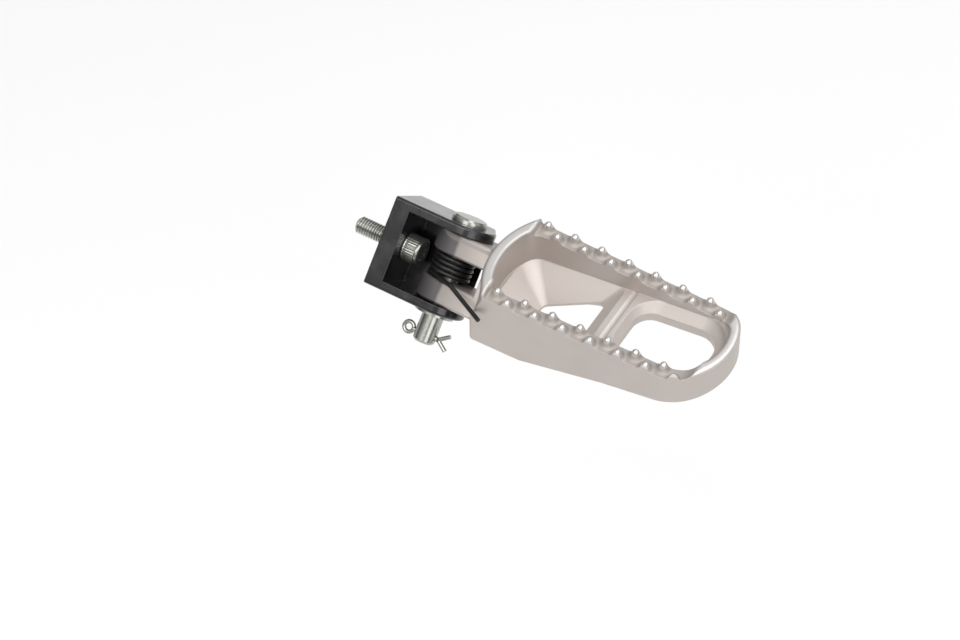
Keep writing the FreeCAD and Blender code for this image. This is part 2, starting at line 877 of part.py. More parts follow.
def build_bracket():
    """The clevis: two ears on a back plate, joined under the pin by a web that stops the peg."""
    body = doc.addObject("PartDesign::Body", "clevis")
    radius = size("ear_radius")
    face = -(size("pin_standoff") - size("plate_thick"))
    back = -size("pin_standoff")
    web_top = -size("lug_radius") - size("web_play")
    web_bottom = web_top - size("web_thick")
    nose = size("ear_nose_deg")
    profile = new_sketch(body, "ear_profile", "XZ_Plane")
    draw_polygon(
        profile,
        [
            (back, radius),
            (0, radius),
            (radius * cosine(nose), -radius * sine(nose)),
            (size("web_reach"), web_bottom),
            (back, web_bottom),
        ],
        {1: (radius, 1)},
    )
    ears = body.newObject("PartDesign::Pad", "ear_block")
    ears.Profile = profile
    ears.SideType = "Symmetric"
    bind(ears, Length=ear_outer * 2)
    doc.recompute()
    inside = new_sketch(body, "fork_space", "XZ_Plane")
    wide = radius * 2
    draw_polygon(inside, [(face, web_top), (wide, web_top), (wide, wide), (face, wide)])
    space = body.newObject("PartDesign::Pocket", "space")
    space.Profile = inside
    space.SideType = "Symmetric"
    bind(space, Length=ear_inner * 2)
    doc.recompute()
    outline = new_sketch(body, "plate_outline", "YZ_Plane", back)
    foot = -size("screw_pitch") - size("foot_margin")
    narrow = size("foot_margin") + 1
    rounded_polygon(
        outline,
        [
            (-ear_outer, radius, size("plate_corner")),
            (-ear_outer, web_bottom, size("foot_margin")),
            (-narrow, foot, size("foot_margin")),
            (narrow, foot, size("foot_margin")),
            (ear_outer, web_bottom, size("foot_margin")),
            (ear_outer, radius, size("plate_corner")),
        ],
    )
    plate = body.newObject("PartDesign::Pad", "back_plate")
    plate.Profile = outline
    bind(plate, Length=size("plate_thick"))
    doc.recompute()
    outer = ear_outer.value
    plate_face = face.value + 0.5
    soften(
        body,
        plate,
        "ear_edges",
        size("bracket_edge"),
        lambda p, e: abs(abs(p.y) - outer) < 1e-3 and p.x > plate_face,
    )
    bore = size("pin_dia") / 2 + size("pin_play")
    bores = [cylinder("ear_bore", bore, ear_outer * 2 + 4, y=ear_outer + 2, turn=90, axis=(1, 0, 0))]
    hole = size("screw_dia") / 2 + size("screw_play")
    deep = size("plate_thick") + 4
    for name, drop_to in (("upper_screw_hole", Size.of(0)), ("lower_screw_hole", -size("screw_pitch"))):
        bores.append(cylinder(name, hole, deep, x=back - 2, z=drop_to, turn=90, axis=(0, 1, 0)))
    bores.append(
        cylinder(
            "tail_hole",
            size("wire_dia") / 2 + size("tail_hole_play"),
            size("web_thick") + 4,
            x=-size("coil_radius"),
            y=size("coil_pitch") * coil_sweep / 2,
            z=web_bottom - 2,
        )
    )
    holes = feature("Part::MultiFuse", "bracket_holes", Shapes=bores)
    bracket = feature("Part::Cut", "mounting_bracket", Base=body, Tool=holes)
    in_clevis(bracket)
    return bracket


def turned(name, corners, plane="YZ_Plane"):
    """A turned piece about the first axis of its plane: the pin's own, or a screw's in XZ."""
    body = doc.addObject("PartDesign::Body", name)
    profile = new_sketch(body, f"{name}_profile", plane)
    draw_polygon(profile, corners)
    turn = body.newObject("PartDesign::Revolution", f"{name}_turned")
    turn.Profile = profile
    turn.ReferenceAxis = (profile, ["H_Axis"])
    bind(turn, Angle=360)
    doc.recompute()
    return body


def build_screw(name, height):
    """A socket-head cap screw lying along X, its head on the plate's outer face."""
    face = -(size("pin_standoff") - size("plate_thick"))
    shank = size("screw_dia") / 2
    head = size("screw_head_dia") / 2
    top = face + size("screw_head")
    tip = face - size("screw_length")
    edge = size("screw_edge")
    body = turned(
        name,
        [
            (tip, 0),
            (tip, shank - edge),
            (tip + edge, shank),
            (-size("pin_standoff"), shank),
            (-size("pin_standoff"), shank - size("screw_neck")),
            (face, shank - size("screw_neck")),
            (face, head),
            (top - edge, head),
            (top, head - edge),
            (top, 0),
        ],
        "XZ_Plane",
    )
    socket = new_sketch(body, f"{name}_socket", "YZ_Plane", top)
    sides = 6
    turns = [Size.of(360 / sides * i) for i in range(sides)]
    across = size("screw_hex") / (cosine(Size.of(180 / sides)) * 2)
    draw_polygon(socket, [(across * cosine(turn), across * sine(turn)) for turn in turns])
    pocket = body.newObject("PartDesign::Pocket", f"{name}_hex")
    pocket.Profile = socket
    bind(pocket, Length=size("screw_hex_depth"))
    doc.recompute()
    place(body, z=height)
    return body


def build_screws():
    pair = [build_screw("upper_screw", Size.of(0)), build_screw("lower_screw", -size("screw_pitch"))]
    screws = feature("Part::Compound", "mounting_screws", Links=pair)
    in_clevis(screws)
    return screws


def build_pin():
    """The clevis pin: a low head on the upper ear and a long tail with a cross hole."""
    radius = size("pin_dia") / 2
    head = size("pin_head_dia") / 2
    top = ear_outer + size("pin_head")
    tail = -ear_outer - size("washer_thick") - size("pin_tail")
    edge = size("pin_chamfer")
    body = turned(
        "pin_blank",
        [
            (tail, 0),
            (tail, radius - edge),
            (tail + edge, radius),
            (ear_outer, radius),
            (ear_outer, head),
            (top - edge, head),
            (top, head - edge),
            (top, 0),
        ],
    )
    hole = cylinder(
        "cotter_hole",
        size("cotter_dia") / 2 + size("cotter_play"),
        size("pin_dia") + 4,
        x=-size("pin_dia") / 2 - 2,
        y=tail + size("cotter_inset"),
        turn=90,
        axis=(0, 1, 0),
    )
    pin = feature("Part::Cut", "pivot_pin", Base=body, Tool=hole)
    in_clevis(pin)
    return pin


def build_washer():
    inner = size("pin_dia") / 2 + size("washer_play")
    outer = size("washer_dia") / 2
    top = -ear_outer
    bottom = top - size("washer_thick")
    washer = turned("pin_washer", [(bottom, inner), (bottom, outer), (top, outer), (top, inner)])
    in_clevis(washer)
    return washer


def build_cotter():
    """The split pin: an eye, a shank through the cross hole, and two legs spread apart."""
    wire = size("cotter_dia") / 2
    y = -ear_outer - size("washer_thick") - size("pin_tail") + size("cotter_inset")
    start = -size("pin_dia") / 2 - wire
    end = size("pin_dia") / 2 + wire
    eye_radius = size("cotter_eye")
    shank = cylinder("cotter_shank", wire, end - start, x=start, y=y, turn=90, axis=(0, 1, 0))
    eye = feature("Part::Torus", "cotter_eye")
    bind(eye, Radius1=eye_radius, Radius2=wire * 0.8)
    place(eye, x=start - eye_radius, y=y)
    elbow = feature("Part::Sphere", "cotter_elbow")
    bind(elbow, Radius=wire)
    place(elbow, x=end, y=y)
    legs = []
    for name, angle in (("upper_leg", size("cotter_spread_deg")), ("lower_leg", -size("cotter_spread_deg"))):
        leg = feature("Part::Cylinder", f"cotter_{name}")
        bind(leg, Radius=wire * 0.8, Height=size("cotter_leg"))
        leg.Placement = FreeCAD.Placement(
            vector(end.value, y.value),
            FreeCAD.Rotation(vector(0, 0, 1), angle.value).multiply(FreeCAD.Rotation(vector(0, 1, 0), 90)),
        )
        leg.setExpression("Placement.Base.x", end.formula)
        leg.setExpression("Placement.Base.y", y.formula)
        legs.append(leg)
    cotter = feature("Part::MultiFuse", "cotter_pin", Shapes=[shank, eye, elbow] + legs)
    in_clevis(cotter)
    return cotter


# Return spring: a number of full turns and the angle between its two legs

coil_sweep = size("coil_turns") + (Size.of(90) - size("leg_lift_deg")) / 360


def rounded_way(points, radius):
    """Straight runs joined by tangent arcs of one radius."""
    edges = []
    start = points[0]
    for before, corner, after in zip(points, points[1:], points[2:]):
        back = (before - corner).normalize()
        ahead = (after - corner).normalize()
        half = back.getAngle(ahead) / 2
        reach = radius / math.tan(half)
        first = corner + back * reach
        last = corner + ahead * reach
        middle = corner + (back + ahead).normalize() * (radius / math.sin(half) - radius)
        edges.append(Part.LineSegment(start, first).toShape())
        edges.append(Part.Arc(first, middle, last).toShape())
        start = last
    edges.append(Part.LineSegment(start, points[-1]).toShape())
    return edges


def build_spring():
    """A torsion coil between the lugs: one leg out to the casting, one down through the web."""
    radius, pitch = SIZES["coil_radius"], SIZES["coil_pitch"]
    wire = SIZES["wire_dia"] / 2
    turns = coil_sweep.value
    lift = math.radians(SIZES["leg_lift_deg"])
    start_angle = math.pi / 2 + lift
    low = -pitch * turns / 2

    def on_coil(angle, y):
        """A point of the coil: angle from X towards the pin's rear side, y along the pin."""
        return vector(radius * math.cos(angle), y, radius * math.sin(angle))

    # the helix climbs about Z from the X axis: its climb goes along the pin, and its start to the leg
    coil = Part.makeHelix(pitch, pitch * turns, radius)
    along_pin = FreeCAD.Matrix()
    along_pin.A = (
        math.cos(start_angle), -math.sin(start_angle), 0, 0,
        0, 0, 1, low,
        math.sin(start_angle), math.cos(start_angle), 0, 0,
        0, 0, 0, 1,
    )
    coil = coil.transformGeometry(along_pin)
    first = on_coil(start_angle, low)
    end_angle = start_angle + 2 * math.pi * turns
    last = on_coil(end_angle, -low)
    slope = pitch / (2 * math.pi * radius)
    away = vector(math.sin(start_angle), -slope, -math.cos(start_angle)).normalize()
    bend_x = SIZES["leg_bend_at"]
    bend = first + away * ((bend_x - first.x) / away.x)
    corner = vector(SIZES["leg_corner_at"], -SIZES["leg_corner_drop"], SIZES["leg_corner_lift"])
    tip = corner + (corner - bend) * SIZES["leg_over"]
    leg = rounded_way([first, bend, tip], SIZES["leg_bend"])
    down = vector(-math.sin(end_angle), slope, math.cos(end_angle)).normalize()
    tail = Part.LineSegment(last, last + down * SIZES["tail_length"]).toShape()
    path = Part.Wire(list(reversed(leg)) + coil.Edges + [tail])
    ring = Part.Wire(Part.Circle(tip, (bend - tip).normalize(), wire).toShape())
    spring = feature("Part::Feature", "return_spring")
    pipe = Part.BRepOffsetAPI.MakePipeShell(path)
    pipe.setFrenetMode(False)
    pipe.add(ring)
    pipe.build()
    pipe.makeSolid()
    spring.Shape = pipe.shape()
    in_clevis(spring)
    return spring


parts = [
    build_footpeg(),
    build_bracket(),
    build_screws(),
    build_pin(),
    build_washer(),
    build_cotter(),
    build_spring(),
]
doc.recompute()

for thing in doc.Objects:
    if "Invalid" in thing.State or "Error" in thing.State:
        raise RuntimeError(f"{thing.Name} did not rebuild: {thing.getStatusString()}")
for part in parts:
    if part.Shape.isNull() or not part.Shape.isValid():
        raise RuntimeError(f"{part.Name} has no sound shape")

os.makedirs("parts", exist_ok=True)
for part in parts:
    part.Label = part.Name
    part.Shape.exportStep(f"parts/{part.Name}.step")
    box = part.Shape.BoundBox
    print(part.Name, len(part.Shape.Solids), round(part.Shape.Volume), "mm3", box)
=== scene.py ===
import math

import bmesh
import bpy
from mathutils import Matrix, Vector


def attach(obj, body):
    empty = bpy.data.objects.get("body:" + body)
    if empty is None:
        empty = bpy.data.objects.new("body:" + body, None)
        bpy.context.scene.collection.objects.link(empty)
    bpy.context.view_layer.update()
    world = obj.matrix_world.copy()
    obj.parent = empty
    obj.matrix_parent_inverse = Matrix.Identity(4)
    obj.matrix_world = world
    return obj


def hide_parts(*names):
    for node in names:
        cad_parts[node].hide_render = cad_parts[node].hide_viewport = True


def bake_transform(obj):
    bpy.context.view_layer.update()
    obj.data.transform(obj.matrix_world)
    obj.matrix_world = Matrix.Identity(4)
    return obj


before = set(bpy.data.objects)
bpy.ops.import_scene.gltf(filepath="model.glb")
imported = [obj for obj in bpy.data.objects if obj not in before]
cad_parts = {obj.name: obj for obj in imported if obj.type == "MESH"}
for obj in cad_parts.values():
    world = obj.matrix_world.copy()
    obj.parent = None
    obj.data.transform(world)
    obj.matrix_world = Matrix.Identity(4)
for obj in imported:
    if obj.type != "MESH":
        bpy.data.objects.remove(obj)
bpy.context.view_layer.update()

# View
# The footpeg is seen from above and from its near side, with a long lens. The camera is aimed by
# the middle of the platform, at the height of the teeth's tips.

MM = 0.001
platform = Vector((106.5, 4.2, 21.2)) * MM
lens_turn = math.radians(30.9)
lens_rise = math.radians(51.1)
lens_away = 1742 * MM
lens_aside = -54.9 * MM
lens_below = -9.0 * MM
lens_millimetres = 153.75
film_millimetres = 36
nearest_seen = 0.05
farthest_seen = 60

lens_right = Vector((math.cos(lens_turn), math.sin(lens_turn), 0))
lens_back = Vector(
    (
        math.sin(lens_turn) * math.cos(lens_rise),
        -math.cos(lens_turn) * math.cos(lens_rise),
        math.sin(lens_rise),
    )
)
lens_up = lens_back.cross(lens_right)
lens_place = platform + lens_right * lens_aside + lens_up * lens_below + lens_back * lens_away
lens_axes = Matrix((lens_right, lens_up, lens_back)).transposed().to_4x4()
lens = bpy.data.cameras.new("lens")
lens.lens = lens_millimetres
lens.sensor_width = film_millimetres
lens.clip_start = nearest_seen
lens.clip_end = farthest_seen
camera = bpy.data.objects.new("camera", lens)
camera.matrix_world = Matrix.Translation(lens_place) @ lens_axes
bpy.context.scene.collection.objects.link(camera)
bpy.context.scene.camera = camera


# Footpeg
# One casting in light alloy with two rows of teeth on its rim, blasted to an even satin grey. Its
# colour also holds painted light: the tooth tips and top edges are paler, partly as wear and partly
# as painted highlight; painted shade darkens the valleys between the teeth, the inboard end and the
# lugs' round ends; and the tray's upward faces are painted paler as painted light.

teeth_start = 61 * MM
teeth_end = 159 * MM
teeth_fade = 2.5 * MM
tooth_tall = 4.0 * MM
tooth_rounding = 0.6 * MM
rim_rounding = 2.2 * MM
rim_deep = 7.0 * MM
tip_bright = 1.2 * MM
tip_foot = 2.6 * MM
valley_top = 2.4 * MM
valley_floor = 3.4 * MM
valley_fade = 0.5 * MM
edge_brightening_start = 2.0 * MM
edge_brightening_end = 14.0 * MM
lugs_end = 44.0 * MM
tray_start = 52.0 * MM
lug_shade_start = 33.6 * MM
lug_shade_fade = 2.0 * MM
lug_shade_waver = 2.0 * MM
inboard_shade_start = 30.0 * MM
inboard_shade_end = 50.0 * MM
blast_depth = 0.022 * MM


class Value:
    """One value in a piece's nodes. Sums and products of values add the Math nodes."""

    def __init__(self, nodes, socket):
        self.nodes = nodes
        self.socket = socket

    def maths(self, operation, first, second):
        return self.nodes.node("ShaderNodeMath", {"operation": operation}, {0: first, 1: second})

    def __add__(self, other):
        return self.maths("ADD", self, other)

    def __sub__(self, other):
        return self.maths("SUBTRACT", self, other)

    def __rsub__(self, other):
        return self.maths("SUBTRACT", other, self)

    def __mul__(self, other):
        return self.maths("MULTIPLY", self, other)

    __radd__ = __add__
    __rmul__ = __mul__

    def between(self, low, high):
        """0 below low, 1 above high, and smooth between them."""
        settings = {"interpolation_type": "SMOOTHSTEP"}
        sockets = {"Value": self, "From Min": low, "From Max": high}
        return self.nodes.node("ShaderNodeMapRange", settings, sockets)


class Nodes:
    """A tree of nodes, and the one method that adds any node to it."""

    def __init__(self, tree):
        self.tree = tree

    def node(self, kind, settings=None, sockets=None, output=0):
        """A socket takes a number, a value, or a list of values where it joins several."""
        made = self.tree.nodes.new(kind)
        for setting, choice in (settings or {}).items():
            setattr(made, setting, choice)
        for socket, amount in (sockets or {}).items():
            if isinstance(amount, list):
                for value in reversed(amount):
                    self.tree.links.new(value.socket, made.inputs[socket])
            elif isinstance(amount, Value):
                self.tree.links.new(amount.socket, made.inputs[socket])
            else:
                made.inputs[socket].default_value = amount
        if made.outputs:
            return Value(self, made.outputs[output])


class Finish(Nodes):
    """A material, its shader and its nodes."""

    def __init__(self, name, **surface):
        self.material = bpy.data.materials.new(name)
        self.material.use_nodes = True
        super().__init__(self.material.node_tree)
        self.shader = self.tree.nodes["Principled BSDF"]
        for socket, amount in surface.items():
            self.shader.inputs[socket.replace("_", " ")].default_value = amount

    def spot(self):
        return self.node("ShaderNodeTexCoord", output="Object")

    def facing(self):
        return self.node("ShaderNodeTexCoord", output="Normal")

    def part_of(self, vector, axis):
        return self.node("ShaderNodeSeparateXYZ", {}, {"Vector": vector}, axis)

    def grain(self, size, detail=2.0):
        """Even noise whose grains are about this big."""
        sockets = {"Vector": self.spot(), "Scale": 1 / size, "Detail": detail}
        return self.node("ShaderNodeTexNoise", {"noise_dimensions": "3D"}, sockets)

    def tint(self, share, plain, other):
        """A colour that goes from plain to other with the share."""
        return self.node("ShaderNodeMix", {"data_type": "RGBA"}, {0: share, 6: plain, 7: other}, 2)

    def blend(self, share, first, other):
        """A direction that goes from the first to the other with the share."""
        return self.node("ShaderNodeMix", {"data_type": "VECTOR"}, {0: share, 4: first, 5: other}, 1)

    def round_normal(self, radius):
        """The surface's direction as if each edge were rounded this much."""
        return self.node("ShaderNodeBevel", {"samples": 6}, {"Radius": radius})

    def edges(self, rounding):
        """1 on the edges and 0 on the faces, found from how far the rounding turns the surface."""
        least_turned = 0.01
        well_turned = 0.16
        flat = self.node("ShaderNodeNewGeometry", output="Normal")
        settings = {"operation": "DOT_PRODUCT"}
        alike = self.node("ShaderNodeVectorMath", settings, {0: rounding, 1: flat}, "Value")
        return (1 - alike).between(least_turned, well_turned)

    def drive(self, socket, amount):
        self.tree.links.new(amount.socket, self.shader.inputs[socket])

    def emboss(self, height, depth, rounding):
        sockets = {"Height": height, "Distance": depth, "Strength": 1.0, "Normal": rounding}
        self.drive("Normal", self.node("ShaderNodeBump", {}, sockets))


def blasted_alloy():
    blasted = (0.44, 0.392, 0.362, 1)
    paler = (0.52, 0.472, 0.440, 1)
    # Paler colour for the tray's upward faces: painted light.
    slope_painted_light = (0.66, 0.61, 0.575, 1)
    # Paler colour for the tooth tips and top edges: wear and painted highlight.
    worn_and_highlight = (0.72, 0.70, 0.68, 1)
    # Darker colour for the valleys between the teeth: painted shade.
    valley_painted_shade = (0.24, 0.215, 0.195, 1)
    # Darker colour for the inboard end: painted shade.
    dust_and_shade_tone = (0.24, 0.215, 0.20, 1)
    # Near-black colour for the lugs' round ends: painted shade.
    lug_end_painted_shade = (0.050, 0.050, 0.052, 1)
    finish = Finish("blasted_alloy", IOR=1.6)
    patches = finish.grain(14 * MM, 3.0)
    speckle = finish.grain(1.1 * MM, 3.0)
    out = finish.part_of(finish.spot(), "X")
    depth = platform.z - finish.part_of(finish.spot(), "Z")
    upward = finish.part_of(finish.facing(), "Z").between(0.1, 0.5)

    tooth_edge = finish.round_normal(tooth_rounding)
    rim_edge = finish.round_normal(rim_rounding)
    before_teeth = 1 - out.between(teeth_start, teeth_start + teeth_fade)
    past_teeth = out.between(teeth_end - teeth_fade, teeth_end)
    below_rim = depth.between(tooth_tall, rim_deep)
    plain_rim = (before_teeth + past_teeth) * (1 - below_rim)
    rounding = finish.blend(plain_rim, tooth_edge, rim_edge)

    # The tooth tips and the top edges are painted paler, partly as wear and partly as painted
    # highlight.
    tips = 1 - depth.between(tip_bright, tip_foot)
    edge_wear_and_highlight = finish.edges(tooth_edge) * (1 - depth.between(edge_brightening_start, edge_brightening_end)) * 0.5
    above_tray = 1 - depth.between(tooth_tall, tooth_tall + valley_fade)
    # The upward faces in the valleys between the teeth are darkened in patches: painted shade.
    valleys = depth.between(valley_top, valley_floor) * above_tray
    valley_shade = valleys * upward * (0.2 + patches * 0.5)
    # The upward faces below the rim, from the tray outward, are painted paler: painted light.
    lit_slopes = upward * below_rim * out.between(lugs_end, tray_start)
    # The inboard end by the lugs is darkened in a broad fade: painted shade.
    dust_and_shade_mask = (1 - out.between(inboard_shade_start, inboard_shade_end)) * 0.8
    # The lugs' round ends are painted near black and made less metallic: painted shade.
    beyond_lug_end_shade = (out + patches * lug_shade_waver).between(lug_shade_start, lug_shade_start + lug_shade_fade)
    lug_end_shade = (1 - beyond_lug_end_shade) * 0.85

    metal = finish.tint(lit_slopes * 0.75, finish.tint(patches, blasted, paler), slope_painted_light)
    hinge = finish.tint(lug_end_shade, finish.tint(dust_and_shade_mask, metal, dust_and_shade_tone), lug_end_painted_shade)
    shaded_metal = finish.tint(valley_shade, hinge, valley_painted_shade)
    finish.drive("Base Color", finish.tint(tips * 0.85 + edge_wear_and_highlight, shaded_metal, worn_and_highlight))
    finish.drive("Metallic", 0.62 - valley_shade * 0.4 + tips * 0.2 - lug_end_shade * 0.4)
    satin = 0.38 - tips * 0.12 + patches * 0.08 + valley_shade * 0.25 + lit_slopes * 0.12
    finish.drive("Roughness", satin + speckle * 0.04)
    finish.emboss(finish.grain(0.45 * MM) + finish.grain(5 * MM) * 2.0, blast_depth, rounding)
    return finish.material


def dress(node, material):
    """A CAD piece keeps its shape and gets its finish."""
    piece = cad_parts[node]
    for slot in piece.material_slots:
        slot.material = material


dress("footpeg", blasted_alloy())


# Bracket
# A clevis of welded steel plate, painted gloss black. Its edges shine through a little where the
# paint is thin.


def black_paint():
    clean = (0.006, 0.006, 0.007, 1)
    dust_and_shade_tone = (0.016, 0.016, 0.017, 1)
    primer = (0.10, 0.10, 0.10, 1)
    finish = Finish("black_paint", IOR=1.5, Coat_Weight=0.25, Coat_Roughness=0.08)
    rounding = finish.round_normal(0.5 * MM)
    thin = finish.edges(rounding) * finish.grain(3 * MM, 4.0).between(0.45, 0.62)
    dust_and_shade_mask = finish.grain(9 * MM, 4.0).between(0.4, 0.8)
    finish.drive("Base Color", finish.tint(thin * 0.5, finish.tint(dust_and_shade_mask, clean, dust_and_shade_tone), primer))
    finish.drive("Roughness", 0.16 + dust_and_shade_mask * 0.16 + thin * 0.1)
    finish.emboss(finish.grain(1.6 * MM), 0.03 * MM, rounding)
    return finish.material


dress("mounting_bracket", black_paint())


# Screws
# Two socket-head cap screws of zinc-plated steel go through the bracket's back plate. Each has a
# knurled head with a hexagonal socket, and a rolled thread on its free end.

screw_sides = 72
screw_face = 8.0 * MM
screw_tip = -17.0 * MM
tip_chamfer = 0.7 * MM
shank_radius = 3.6 * MM
thread_root = 3.3 * MM
thread_crest = 3.98 * MM
thread_pitch = 1.25 * MM
thread_turns = 12.6
thread_steps = 36
thread_runout = 0.4 * MM
ridge_half = 0.45
head_top = 16.0 * MM
head_radius = 6.5 * MM
head_edge = 0.8 * MM
head_edge_bend = 0.3
foot_chamfer = 0.3 * MM
knurl_depth = 0.16 * MM
knurl_fade = 0.3 * MM
plain_foot = 0.7 * MM
plain_top = 1.4 * MM
socket_flats = 6.0 * MM
socket_depth = 4.0 * MM
socket_chamfer = 0.35 * MM
screw_count = 2
screw_spacing = Vector((0, 24.042, -24.042)) * MM


def zinc_plate():
    dark_zinc = (0.27, 0.28, 0.25, 1)
    pale_zinc = (0.46, 0.46, 0.43, 1)
    # Paler colour for the edges: painted highlight.
    painted_edge_highlight = (0.75, 0.75, 0.73, 1)
    finish = Finish("zinc_plate")
    cloud = finish.grain(5 * MM, 4.0)
    dull = finish.grain(1.2 * MM, 3.0)
    rounding = finish.round_normal(0.25 * MM)
    plain = finish.tint(cloud, dark_zinc, pale_zinc)
    # All edges are painted paler: painted highlight.
    finish.drive("Base Color", finish.tint(finish.edges(rounding) * 0.5, plain, painted_edge_highlight))
    finish.drive("Metallic", 0.95 - cloud * 0.12)
    finish.drive("Roughness", 0.13 + cloud * 0.14 + dull * 0.05)
    finish.emboss(dull, 0.02 * MM, rounding)
    return finish.material


zinc = zinc_plate()


def lathe(name, rings):
    """A closed shell along X from rings, each an x and a rule that gives the radius at an angle."""
    shell = bmesh.new()
    loops = []
    for x, rule in rings:
        loop = []
        for side in range(screw_sides):
            angle = 2 * math.pi * side / screw_sides
            radius = rule(side, angle)
            loop.append(shell.verts.new((x, radius * math.cos(angle), radius * math.sin(angle))))
        loops.append(loop)
    for low, high in zip(loops, loops[1:]):
        for side in range(screw_sides):
            after = (side + 1) % screw_sides
            shell.faces.new((low[side], low[after], high[after], high[side]))
    shell.faces.new(loops[0])
    shell.faces.new(loops[-1])
    bmesh.ops.recalc_face_normals(shell, faces=shell.faces)
    mesh = bpy.data.meshes.new(name)
    shell.to_mesh(mesh)
    shell.free()
    return mesh


def even(radius):
    return lambda side, angle: radius


def knurled(radius):
    return lambda side, angle: radius - knurl_depth * (side % 2)


def hexagon(flats):
    sixth = math.pi / 3
    return lambda side, angle: flats / 2 / math.cos((angle % sixth) - sixth / 2)


def corner_radius(flats):
    return flats / 2 / math.cos(math.pi / 6)


screw_rings = [
    (screw_tip, even(thread_root - tip_chamfer)),
    (screw_tip + tip_chamfer, even(thread_root)),
    (-thread_runout, even(thread_root)),
    (0, even(shank_radius)),
    (screw_face, even(shank_radius)),
    (screw_face, even(head_radius - foot_chamfer)),
    (screw_face + foot_chamfer, even(head_radius)),
    (screw_face + plain_foot, even(head_radius)),
    (screw_face + plain_foot + knurl_fade, knurled(head_radius)),
    (head_top - plain_top - knurl_fade, knurled(head_radius)),
    (head_top - plain_top, even(head_radius)),
    (head_top - head_edge, even(head_radius)),
    (head_top - head_edge * head_edge_bend, even(head_radius - head_edge * head_edge_bend)),
    (head_top, even(head_radius - head_edge)),
    (head_top, even(corner_radius(socket_flats) + socket_chamfer)),
    (head_top - socket_chamfer, hexagon(socket_flats)),
    (head_top - socket_depth, hexagon(socket_flats)),
]


class Pattern(Nodes):
    """A Geometry Nodes tree with named inputs, run on one object and turned into a plain mesh."""

    def __init__(self, name, amounts):
        super().__init__(bpy.data.node_groups.new(name, "GeometryNodeTree"))
        self.amounts = amounts
        self.sockets = {}
        panel = self.tree.interface
        panel.new_socket("Geometry", in_out="INPUT", socket_type="NodeSocketGeometry")
        panel.new_socket("Geometry", in_out="OUTPUT", socket_type="NodeSocketGeometry")
        for label, amount in amounts.items():
            kind = "NodeSocketVector" if isinstance(amount, Vector) else "NodeSocketFloat"
            self.sockets[label] = panel.new_socket(label, in_out="INPUT", socket_type=kind).identifier

    def given(self, label):
        return self.node("NodeGroupInput", output=label)

    def end(self, shape, material):
        """Ends the tree in real geometry with its material."""
        real = self.node("GeometryNodeRealizeInstances", {}, {"Geometry": shape})
        dressed = self.node("GeometryNodeSetMaterial", {}, {"Geometry": real, "Material": material})
        self.node("NodeGroupOutput", {}, {"Geometry": dressed})

    def made_on(self, start, name):
        """The plain mesh object that the tree makes of a mesh or a curve."""
        host = bpy.data.objects.new(name + "_start", start)
        bpy.context.scene.collection.objects.link(host)
        run = host.modifiers.new(name, "NODES")
        run.node_group = self.tree
        for label, amount in self.amounts.items():
            run[self.sockets[label]] = list(amount) if isinstance(amount, Vector) else float(amount)
        seen = host.evaluated_get(bpy.context.evaluated_depsgraph_get())
        mesh = bpy.data.meshes.new_from_object(seen)
        mesh.name = name
        host.modifiers.remove(run)
        bpy.data.objects.remove(host)
        piece = bpy.data.objects.new(name, mesh)
        bpy.context.scene.collection.objects.link(piece)
        return piece


screw_tree = Pattern(
    "threaded_screws",
    {
        "Pitch": thread_pitch,
        "Turns": thread_turns,
        "Root radius": thread_root,
        "Crest radius": thread_crest,
        "Start": Vector((screw_tip + tip_chamfer, 0, 0)),
        "Spacing": screw_spacing,
    },
)
ridge_path = screw_tree.node(
    "GeometryNodeCurveSpiral",
    {},
    {
        "Resolution": thread_steps,
        "Rotations": screw_tree.given("Turns"),
        "Start Radius": screw_tree.given("Root radius"),
        "End Radius": screw_tree.given("Root radius"),
        "Height": screw_tree.given("Pitch") * screw_tree.given("Turns"),
    },
)
ridge_normal = screw_tree.node("GeometryNodeSetCurveNormal", {"mode": "Z_UP"}, {"Curve": ridge_path})
ridge_profile = screw_tree.node(
    "GeometryNodeCurvePrimitiveQuadrilateral",
    {"mode": "KITE"},
    {
        "Width": (screw_tree.given("Crest radius") - screw_tree.given("Root radius")) * 2,
        "Bottom Height": screw_tree.given("Pitch") * ridge_half,
        "Top Height": screw_tree.given("Pitch") * ridge_half,
    },
)
ridge = screw_tree.node(
    "GeometryNodeCurveToMesh",
    {},
    {"Curve": ridge_normal, "Profile Curve": ridge_profile, "Fill Caps": True},
)
ridge_on_shank = screw_tree.node(
    "GeometryNodeTransform",
    {},
    {"Geometry": ridge, "Translation": screw_tree.given("Start"), "Rotation": (0, math.pi / 2, 0)},
)
one_screw = screw_tree.node(
    "GeometryNodeJoinGeometry",
    {},
    {"Geometry": [screw_tree.given("Geometry"), ridge_on_shank]},
)
screw_places = screw_tree.node(
    "GeometryNodeMeshLine",
    {"mode": "OFFSET"},
    {"Count": screw_count, "Offset": screw_tree.given("Spacing")},
)
screw_pair = screw_tree.node(
    "GeometryNodeInstanceOnPoints",
    {},
    {"Points": screw_places, "Instance": one_screw},
)
screw_tree.end(screw_pair, zinc)
screws = screw_tree.made_on(lathe("screw_blank", screw_rings), "threaded_screws")
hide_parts("mounting_screws")
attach(screws, "bracket")


# Pin, washer and split pin
# A plain clevis pin with a low head goes down through ears and lugs. A flat washer and a split
# pin through its end keep it there. All three are zinc plated as the screws are.

for node in ("pivot_pin", "pin_washer", "cotter_pin"):
    dress(node, zinc)


# Return spring
# Round steel wire, blackened with oil, wound over the pin between the lugs. One leg goes over the
# lower lug and presses on the casting's corner, and the other goes down through the bracket's web.

